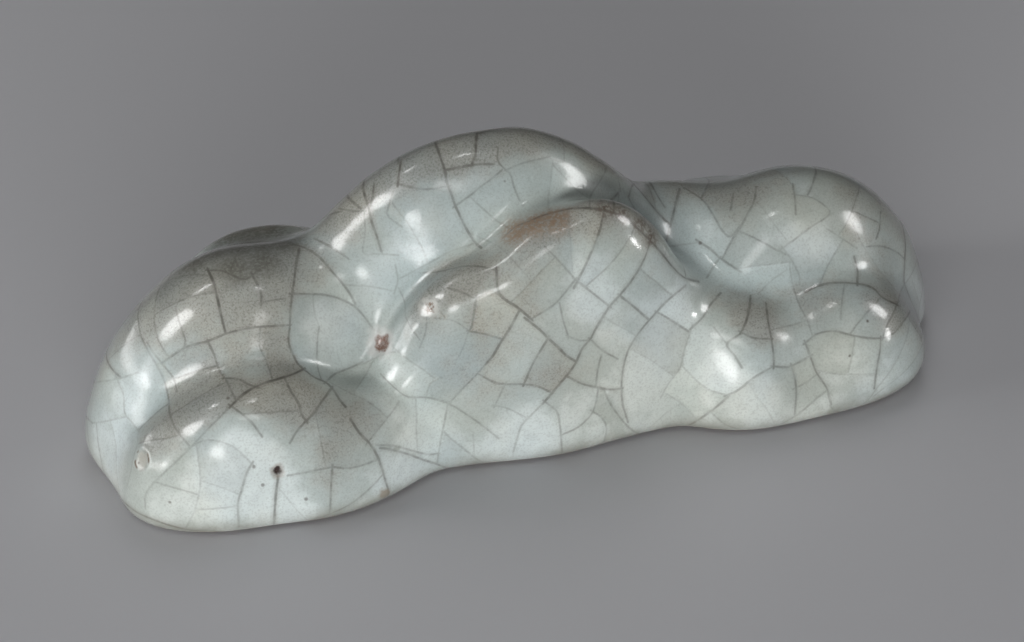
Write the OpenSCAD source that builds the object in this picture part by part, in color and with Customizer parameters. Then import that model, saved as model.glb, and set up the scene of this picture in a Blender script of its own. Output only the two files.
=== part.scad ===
// Brush rest of glazed stoneware, shaped as a range of three hills with lower hills before and behind.
// Lengths are in millimetres. X runs along the range, Y from its front to its back, and Z up from the table.
// The table is at z = 0.

/* [Overall size] */

// Length of the range between the tips of its two outer hills
rest_length = 135; // [100:1:190]
// Depth from the front hills to the back hills
rest_depth = 45; // [34:1:64]
// Height of the tallest hill above the table
rest_height = 45.5; // [34:0.5:64]

/* [Fired body] */

// Thickness of the glaze over the body
glaze_thickness = 0.8; // [0.4:0.1:1.2]
// Thickness of the pressed clay wall behind the glaze
wall_thickness = 4; // [3:0.1:5]
// Thickness of the slab that closes the body underneath
slab_thickness = 5; // [4:0.1:7]
// Height at which the glaze stops above the table
glaze_edge_height = 0.8; // [0.5:0.1:1.2]
// Reach of the rounding where the sides turn under to the foot
foot_rounding = 3.5; // [2:0.1:5]
// Width of the vent through the slab, which lets air out of the hollow in firing
vent_diameter = 3; // [2:0.1:3.5]

/* [Joins between hills] */

// Softness of the valleys between the three main hills
valley_softness = 3; // [1:0.1:5]
// Softness of the valleys between neighbouring lower hills
low_valley_softness = 2; // [1:0.1:4]
// Softness of the creases where lower hills meet the main hills
crease_softness = 1.2; // [0.6:0.1:2.5]

// Each hill is an egg-shaped mound. Its place is the middle of the mound and its half size runs
// along, back and up from there. Places and half sizes are those of a rest 135 long, 45 deep and
// 45.5 high, and stretch with the overall size.

/* [Main hills] */

// Place of the left hill
left_hill = [-42.5, 3.5, 0];
// Half size of the left hill
left_hill_half = [25, 15, 32];
// Place of the tallest hill, in the middle
middle_hill = [-6, 5, 0];
// Half size of the tallest hill
middle_hill_half = [34, 13, 45.5];
// Place of the right hill
right_hill = [43.5, 3.5, 0];
// Half size of the right hill
right_hill_half = [24, 15, 29.5];
// Place of the saddle between the middle hill and the right hill
saddle_hill = [24, 8, 0];
// Half size of that saddle
saddle_hill_half = [15, 10, 27];
// Place of the low swelling at the foot of the left hill
left_foot = [-51, -6, 0];
// Half size of that swelling
left_foot_half = [13.5, 12.5, 13];

/* [Lower hills in front] */

// Place of the long lower hill before the left hill
front_left = [-45.5, -11.5, 0];
// Half size of that lower hill
front_left_half = [19, 10, 20.5];
// Place of the small spur to its right
front_spur = [-31, -14.5, 0];
// Half size of the spur
front_spur_half = [12, 6.5, 14.5];
// Turn of the spur about the upright axis, degrees
front_spur_turn = 18; // [0:1:40]
// Place of the web at the table that fills the corner between the spur and the middle of the front
front_web = [-26, -9, 0];
// Half size of the web
front_web_half = [7, 6.5, 5];
// Place of the shoulder before the middle hill
front_shoulder = [-11, -9, 0];
// Half size of the shoulder
front_shoulder_half = [16, 7.5, 31];
// Place of the left part of the crest before the middle hill
front_crest_left = [0, -7.5, 0];
// Half size of the left part of the crest
front_crest_left_half = [12.5, 9.5, 36.5];
// Place of the right part of the crest
front_crest_right = [9, -7.5, 0];
// Half size of the right part of the crest
front_crest_right_half = [17, 9, 38];
// Place of the slope that runs down to the right of the crest
front_apron = [20, -6, 0];
// Half size of that slope
front_apron_half = [13, 8.5, 21];
// Place of the small lower hill before the right hill
front_knoll = [31, -11, 0];
// Half size of that knoll
front_knoll_half = [11, 9, 17];
// Place of the toe at the table between the knoll and the rightmost lower hill
front_toe = [37, -11.5, 0];
// Half size of the toe
front_toe_half = [13, 8.5, 9];
// Place of the rightmost lower hill
front_right = [47.5, -9.5, 0];
// Half size of the rightmost lower hill
front_right_half = [14.5, 10.5, 17];

/* [Lower hills behind] */

// Place of the lower hill behind the left hill
back_left = [-37, 14.5, 0];
// Half size of that lower hill
back_left_half = [19, 8, 28.5];
// Place of the lower hill behind the middle hill
back_middle = [-8, 14, 0];
// Half size of that lower hill
back_middle_half = [18, 9, 30];
// Place of the lower hill behind the right saddle
back_right = [34, 12, 0];
// Half size of that lower hill
back_right_half = [16, 9, 24];
// Place of the last lower hill, behind the right hill
back_end = [50, 12, 0];
// Half size of the last lower hill
back_end_half = [14, 9, 19];

/* [Fineness of the surface] */

// Cross-sections along the range between the middles of the end hills
middle_sections = 42; // [20:1:46]
// Cross-sections that fan round each end
end_sections = 9; // [5:1:11]
// Steps over the front half of each cross-section
front_steps = 22; // [12:1:26]
// Steps over the back half of each cross-section
back_steps = 17; // [10:1:22]

/* [Hidden] */

// Size that the hills above are written for
written_size = [135, 45, 45.5];
stretch = [
    rest_length / written_size.x,
    rest_depth / written_size.y,
    rest_height / written_size.z
];
function stretched(v) = [v.x * stretch.x, v.y * stretch.y, v.z * stretch.z];
function mound(place, half, turn = 0) = [stretched(place), stretched(half), turn];

main_mounds = [
    mound(left_hill, left_hill_half),
    mound(middle_hill, middle_hill_half),
    mound(right_hill, right_hill_half),
    mound(saddle_hill, saddle_hill_half),
    mound(left_foot, left_foot_half)
];
front_mounds = [
    mound(front_left, front_left_half),
    mound(front_spur, front_spur_half, front_spur_turn),
    mound(front_web, front_web_half),
    mound(front_shoulder, front_shoulder_half),
    mound(front_crest_left, front_crest_left_half),
    mound(front_crest_right, front_crest_right_half),
    mound(front_apron, front_apron_half),
    mound(front_knoll, front_knoll_half),
    mound(front_toe, front_toe_half),
    mound(front_right, front_right_half)
];
back_mounds = [
    mound(back_left, back_left_half),
    mound(back_middle, back_middle_half),
    mound(back_right, back_right_half),
    mound(back_end, back_end_half)
];

// Height gap from p to one mound: negative inside it, zero on it
function mound_gap(p, m) =
    let(
        q = p - m[0],
        r = [q.x * cos(m[2]) + q.y * sin(m[2]), q.y * cos(m[2]) - q.x * sin(m[2]), q.z],
        a = [r.x / m[1].x, r.y / m[1].y, r.z / m[1].z],
        b = [a.x / m[1].x, a.y / m[1].y, a.z / m[1].z],
        k = norm(a)
    )
    k * (k - 1) / max(norm(b), 0.0001);

// The least of several gaps, rounded off where two are nearly equal
function soft_least(gaps, soft) =
    let(least = min(gaps))
    least - soft * ln([for (g = gaps) exp((least - g) / soft)] * [for (g = gaps) 1]);

function gap_to(p, mounds, soft) = soft_least([for (m = mounds) mound_gap(p, m)], soft);

// Gap from p to the outside of the whole range
function range_gap(p) =
    soft_least(
        [
            gap_to(p, main_mounds, valley_softness),
            gap_to(p, front_mounds, low_valley_softness),
            gap_to(p, back_mounds, low_valley_softness)
        ],
        crease_softness
    );

// Gap to a skin lying a given depth inside the range, turned under where it nears the table
function turned_under(gap, z) =
    let(near = max(foot_rounding - abs(gap + z), 0) / foot_rounding)
    max(gap, -z) + near * near * foot_rounding / 4;
function skin_gap(p, depth) = turned_under(range_gap(p) + depth, p.z);

// Distance out from a point, along way, to the skin at the given depth. Where a thick wall would
// close the hollow, the least reach keeps it open.
least_reach = 1;
function reach(from, way, depth) =
    let(
        far = max(rest_length / 3, rest_depth, rest_height) + 10,
        gap_from = skin_gap(from, depth),
        gap_far = skin_gap(from + far * way, depth)
    )
    gap_from > -0.01 ? least_reach
    : max(least_reach, close_in(from, way, depth, 0, gap_from, far, gap_far, 0, 30));
function close_in(from, way, depth, a, gap_a, b, gap_b, last, left) =
    let(
        c = (a * gap_b - b * gap_a) / (gap_b - gap_a),
        gap = skin_gap(from + c * way, depth)
    )
    left == 0 || abs(gap) < 0.0005 ? c
    : gap < 0
        ? close_in(from, way, depth, c, gap, b, last < 0 ? gap_b / 2 : gap_b, -1, left - 1)
        : close_in(from, way, depth, a, last > 0 ? gap_a / 2 : gap_a, c, gap, 1, left - 1);
function skin_point(from, way, depth) = from + reach(from, way, depth) * way;

// Cross-sections start on a line along the range, at the top of the slab and a little behind its
// middle, where the two halves of the wall meet. Each is [start, lean], and
// at the two ends they lean outwards like the pages of an open book.
line_left = -46 * stretch.x;
line_right = 45 * stretch.x;
line_back = 2 * stretch.y;
end_lean = 90 / (end_sections + 1);
sections = concat(
    [for (i = [end_sections:-1:1]) [line_left, -i * end_lean]],
    [
        for (i = [0:middle_sections])
            [line_left + (line_right - line_left) * i / middle_sections, 0]
    ],
    [for (i = [1:end_sections]) [line_right, i * end_lean]]
);
section_count = len(sections);
// Angles round a cross-section, from level at the front over the top to level at the back
front_angles = [for (j = [0:front_steps]) 90 * j / front_steps];
back_angles = [for (j = [0:back_steps]) 90 + 90 * j / back_steps];
all_angles = concat(front_angles, [for (j = [1:back_steps]) back_angles[j]]);
// Levels below the top of the slab, where the sides turn under
glazed_levels = [
    slab_thickness * 0.62 + glaze_edge_height * 0.38,
    slab_thickness * 0.28 + glaze_edge_height * 0.72,
    glaze_edge_height
];
slab_levels = concat(glazed_levels, [glaze_edge_height * 0.4, 0]);

function way_out(lean, angle) =
    [sin(lean), -cos(lean) * cos(angle), cos(lean) * sin(angle)];
// A point on the level outline at the given height. The foot's own outline is taken a little above
// the table, where the rounding has turned almost flat.
grazing_height = 0.1;
function level_point(start, way, level, depth) =
    let(p = skin_point([start, line_back, max(level, grazing_height)], way, depth))
    [p.x, p.y, level];

// One row of points per cross-section, with a row of one repeated column at each tip.
// A row climbs the levels at the front, goes over the top and comes down the levels at the back.
function skin_row(section, angles, levels, depth) =
    let(
        start = [section[0], line_back, slab_thickness],
        front_way = way_out(section[1], 0),
        back_way = way_out(section[1], 180)
    )
    concat(
        [for (k = [len(levels) - 1:-1:0]) level_point(section[0], front_way, levels[k], depth)],
        [for (angle = angles) skin_point(start, way_out(section[1], angle), depth)],
        [for (level = levels) level_point(section[0], back_way, level, depth)]
    );
function skin_rows(angles, levels, depth) =
    [for (s = sections) skin_row(s, angles, levels, depth)];
function tip_column(side, levels, depth) =
    let(start = side < 0 ? line_left : line_right)
    [
        for (level = concat([slab_thickness], levels))
            level_point(start, [side, 0, 0], level, depth)
    ];
function flat_list(rows) = [for (row = rows) for (p = row) p];
function skin_points(angles, levels, depth) =
    concat(
        flat_list(skin_rows(angles, levels, depth)),
        tip_column(-1, levels, depth),
        tip_column(1, levels, depth)
    );

// Number of the point in row i and column j, where rows -1 and section_count are the tips
function point_number(i, j, wide, level_count) =
    let(
        top_from = level_count,
        top_to = wide - 1 - level_count,
        level = j < top_from ? top_from - j : j > top_to ? j - top_to : 0
    )
    i < 0 ? section_count * wide + level
    : i >= section_count ? section_count * wide + level_count + 1 + level
    : i * wide + j;
function skin_size(wide, level_count) = section_count * wide + 2 * (level_count + 1);

// Two triangles for four points, split along the shorter diagonal, and without one that has shrunk
// to a line at a tip
function split(a, b, c, d) =
    concat(
        a == b || b == c || a == c ? [] : [[a, b, c]],
        a == c || c == d || a == d ? [] : [[a, c, d]]
    );
function patch(points, a, b, c, d) =
    norm(points[a] - points[c]) <= norm(points[b] - points[d])
        ? split(a, b, c, d)
        : split(b, c, d, a);
function turned_over(faces) = [for (f = faces) [f[0], f[2], f[1]]];
function skin_faces(points, wide, level_count, first, left_open = -1) =
    [
        for (i = [-1:section_count - 1])
            for (j = [0:wide - 2])
                if (j != left_open) each patch(
                    points,
                    first + point_number(i, j, wide, level_count),
                    first + point_number(i, j + 1, wide, level_count),
                    first + point_number(i + 1, j + 1, wide, level_count),
                    first + point_number(i + 1, j, wide, level_count)
                )
    ];
// Points under the line of starts at one height, and the flat strip from them out to column j
function spine_points(height) =
    [for (i = [0:middle_sections]) [sections[i + end_sections][0], line_back, height]];
function spine_number(i, first) = first + min(max(i - end_sections, 0), middle_sections);
function flat_faces(points, j, wide, level_count, spine_first) =
    [
        for (i = [-1:section_count - 1])
            each patch(
                points,
                point_number(i, j, wide, level_count),
                spine_number(i, spine_first),
                spine_number(i + 1, spine_first),
                point_number(i + 1, j, wide, level_count)
            )
    ];
// Strip that joins column j of an outer skin to the same column of an inner one
function rim_faces(points, j, wide, level_count, outer, inner) =
    [
        for (i = [-1:section_count - 1])
            each patch(
                points,
                outer + point_number(i, j, wide, level_count),
                outer + point_number(i + 1, j, wide, level_count),
                inner + point_number(i + 1, j, wide, level_count),
                inner + point_number(i, j, wide, level_count)
            )
    ];

// A layer between two skins, open underneath, such as the glaze or half of the clay wall
module layer(angles, levels, outer_depth, inner_depth) {
    level_count = len(levels);
    wide = len(angles) + 2 * level_count;
    inner_first = skin_size(wide, level_count);
    points = concat(
        skin_points(angles, levels, outer_depth),
        skin_points(angles, levels, inner_depth)
    );
    polyhedron(
        points = points,
        faces = concat(
            skin_faces(points, wide, level_count, 0),
            turned_over(skin_faces(points, wide, level_count, inner_first)),
            rim_faces(points, 0, wide, level_count, 0, inner_first),
            turned_over(rim_faces(points, wide - 1, wide, level_count, 0, inner_first))
        )
    );
}

// Glaze over the whole outside, stopping just above the table
module glaze_coat() {
    color([0.74, 0.79, 0.77])
    layer(all_angles, glazed_levels, 0, glaze_thickness);
}

// Front half of the pressed clay wall
module front_shell() {
    color([0.58, 0.47, 0.38])
    layer(front_angles, [], glaze_thickness, glaze_thickness + wall_thickness);
}

// Back half of the pressed clay wall, which meets the front half on the plane of the line of starts
module back_shell() {
    color([0.54, 0.44, 0.36])
    layer(back_angles, [], glaze_thickness, glaze_thickness + wall_thickness);
}

// Slab that closes the body underneath, with its rounded edge, flat foot and vent
module base_slab() {
    level_count = len(slab_levels);
    wide = 2 + 2 * level_count;
    outside = skin_points([0, 180], slab_levels, glaze_thickness);
    spine_top = len(outside);
    spine_foot = spine_top + middle_sections + 1;
    points = concat(outside, spine_points(slab_thickness), spine_points(0));
    color([0.5, 0.38, 0.29])
    difference() {
        polyhedron(
            points = points,
            faces = concat(
                skin_faces(points, wide, level_count, 0, level_count),
                flat_faces(points, level_count, wide, level_count, spine_top),
                turned_over(flat_faces(points, level_count + 1, wide, level_count, spine_top)),
                turned_over(flat_faces(points, 0, wide, level_count, spine_foot)),
                flat_faces(points, wide - 1, wide, level_count, spine_foot)
            )
        );
        translate([0, line_back, -1])
            cylinder(h = slab_thickness + 2, d = vent_diameter);
    }
}

glaze_coat();
front_shell();
back_shell();
base_slab();
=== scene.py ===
import math

import bpy
import numpy as np
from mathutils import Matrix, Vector, kdtree


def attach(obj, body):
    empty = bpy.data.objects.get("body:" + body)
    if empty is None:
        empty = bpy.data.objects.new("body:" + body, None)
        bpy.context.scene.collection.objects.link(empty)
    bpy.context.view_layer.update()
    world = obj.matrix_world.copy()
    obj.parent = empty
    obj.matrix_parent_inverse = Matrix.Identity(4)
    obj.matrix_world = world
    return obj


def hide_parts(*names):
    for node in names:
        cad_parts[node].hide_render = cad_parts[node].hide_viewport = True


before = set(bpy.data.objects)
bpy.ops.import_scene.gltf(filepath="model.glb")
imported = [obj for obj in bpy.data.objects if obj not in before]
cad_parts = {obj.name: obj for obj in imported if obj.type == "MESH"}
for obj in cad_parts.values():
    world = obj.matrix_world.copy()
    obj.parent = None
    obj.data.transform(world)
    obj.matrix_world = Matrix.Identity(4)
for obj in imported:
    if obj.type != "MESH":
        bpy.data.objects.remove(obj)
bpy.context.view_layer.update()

MM = 0.001  # the range is worked out in millimetres and written to its meshes in metres

# Form of the range as the CAD part has it: place of each hill, its half size, and its turn in degrees
MAIN_HILLS = {
    "left": ((-42.5, 3.5, 0), (25, 15, 32), 0),
    "left foot": ((-51, -6, 0), (13.5, 12.5, 13), 0),
    "middle": ((-6, 5, 0), (34, 13, 45.5), 0),
    "saddle": ((24, 8, 0), (15, 10, 27), 0),
    "right": ((43.5, 3.5, 0), (24, 15, 29.5), 0),
}
FRONT_HILLS = {
    "left": ((-45.5, -11.5, 0), (19, 10, 20.5), 0),
    "spur": ((-31, -14.5, 0), (12, 6.5, 14.5), 18),
    "web": ((-26, -9, 0), (7, 6.5, 5), 0),
    "shoulder": ((-11, -9, 0), (16, 7.5, 31), 0),
    "crest left": ((0, -7.5, 0), (12.5, 9.5, 36.5), 0),
    "crest right": ((9, -7.5, 0), (17, 9, 38), 0),
    "apron": ((20, -6, 0), (13, 8.5, 21), 0),
    "knoll": ((31, -11, 0), (11, 9, 17), 0),
    "toe": ((37, -11.5, 0), (13, 8.5, 9), 0),
    "right": ((47.5, -9.5, 0), (14.5, 10.5, 17), 0),
}
BACK_HILLS = {
    "left": ((-37, 14.5, 0), (19, 8, 28.5), 0),
    "middle": ((-8, 14, 0), (18, 9, 30), 0),
    "right": ((34, 12, 0), (16, 9, 24), 0),
    "end": ((50, 12, 0), (14, 9, 19), 0),
}
# The glaze has run into the joins between hills, so the lower ones are softer than in the CAD's clay
VALLEY_SOFTNESS = 3.0
LOW_VALLEY_SOFTNESS = 2.2
CREASE_SOFTNESS = 1.9
FOOT_ROUNDING = 3.5
GLAZE_THICKNESS = 0.8
GLAZE_EDGE_HEIGHT = 0.8
SLAB_THICKNESS = 5.0
# Line inside the range that its skins are measured from
LINE_LEFT, LINE_RIGHT, LINE_BACK = -46.0, 45.0, 2.0

# Mesh of the glaze
GLAZE_GRAIN = 0.5  # spacing of the glaze mesh's points
OVER_LENGTH, TIP_LENGTH = 118, 36  # ways over the range and round a tip, for the number of steps
INSIDE_ANGLES = 24  # steps over the glaze's unseen inner side
SKIN_GRAIN, SKIN_ANGLES, SKIN_LEVELS = 0.9, 131, 6  # of the skin that cracks grow over, also in quick work
RAY_LENGTH = 60.0  # longer than any way out of the range
RAY_ROUNDS, RAY_CLOSE = 34, 0.001  # most rounds of the search along a ray, and how near it has to come
WAVES, WAVE_SLOPE = (23, 17, 13, 10, 8, 6.5), 0.0035  # lengths of the uneven waves, and rise by length
RELIEF_FADE = 3  # height over which the relief fades out towards the glaze's lower edge
TIGHT, BROAD = 1.5, 3.5  # steps over which the range's roundness is felt
FORM_SEED, PLATE_SEED, CRACK_SEED = 3, 5, 11

# Camera at the photograph's viewing angle
PHOTO_SIZE = (1024, 642)
AZIMUTH, ELEVATION = math.radians(-17), math.radians(36)
CAMERA_DISTANCE = 520.0
CAMERA_AIM = np.array((-2.0, 0.0, 14.0))
LENS, SENSOR = 120.0, 36.0
SEARCH_REACH, SEARCH_STEP = 90, 0.5  # of the search along the camera's rays, before and behind the aim
FACING_LEAST = 0.12  # how squarely the glaze has to face the camera to count as seen
SHADING_STEP = 1.5  # along the rays that tell whether a hill stands between the glaze and the camera

# Crackle
CRACK_SPACING = 3.0  # how far from any crack a point of the glaze may be before another crack starts
FACING_SPACING = 3.3  # the same where the photograph shows the glaze and its cracks are drawn
CRACK_STEP = 0.4
CRACK_LAYERS = 6  # cracks that meet are kept in different layers of the mesh's data
CRACK_REACH = 1.6  # how far from a crack the mesh's data knows it
NO_CRACK = 9.0  # the distance that the mesh's data holds further away
FAR = 1e9  # a distance not measured yet
CREST_JUMP = 1.5  # a longer step along a drawn crack means that a crest hides part of it
SHORTEST_CRACK = 3  # in points
SPACING_SPREAD = (0.8, 1.35)  # least and most share of the spacing that one place asks for
MOST_CRACKS, MOST_STEPS = 700, 70  # grown cracks in all, and steps of one from its start
BEND, WANDER = 0.01, 0.035  # lasting and passing turns of a grown crack
MEETING = 0.75 * CRACK_STEP + 0.1  # how near to another crack a grown one stops
FOOT_MARGIN = 0.1  # how near to the glaze's lower edge it stops
GROWTH_REACH = 40  # further than it gets from its start
BATCH = 200  # points of cracks measured at a time
GROWN_DARKNESS, GROWN_SHARES = (0.3, 0.5, 0.7, 0.95), (0.3, 0.35, 0.22, 0.13)
FACING_DARKNESS = 0.5  # by which grown cracks are fainter between the drawn ones
PLATE_GAP = 0.42 * max(GLAZE_GRAIN, 0.6) + 0.05  # points nearer to a crack belong to no plate at first
SPREAD_ROUNDS, FILL_ROUNDS = 400, 6  # rounds in which a plate's number spreads over it and into the gaps
MOST_TINT = 1.8
LINE_THIN, LINE_THICK, LINE_EDGE = 0.015, 0.09, 0.22  # half width of the faintest and darkest line, and blur
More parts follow.
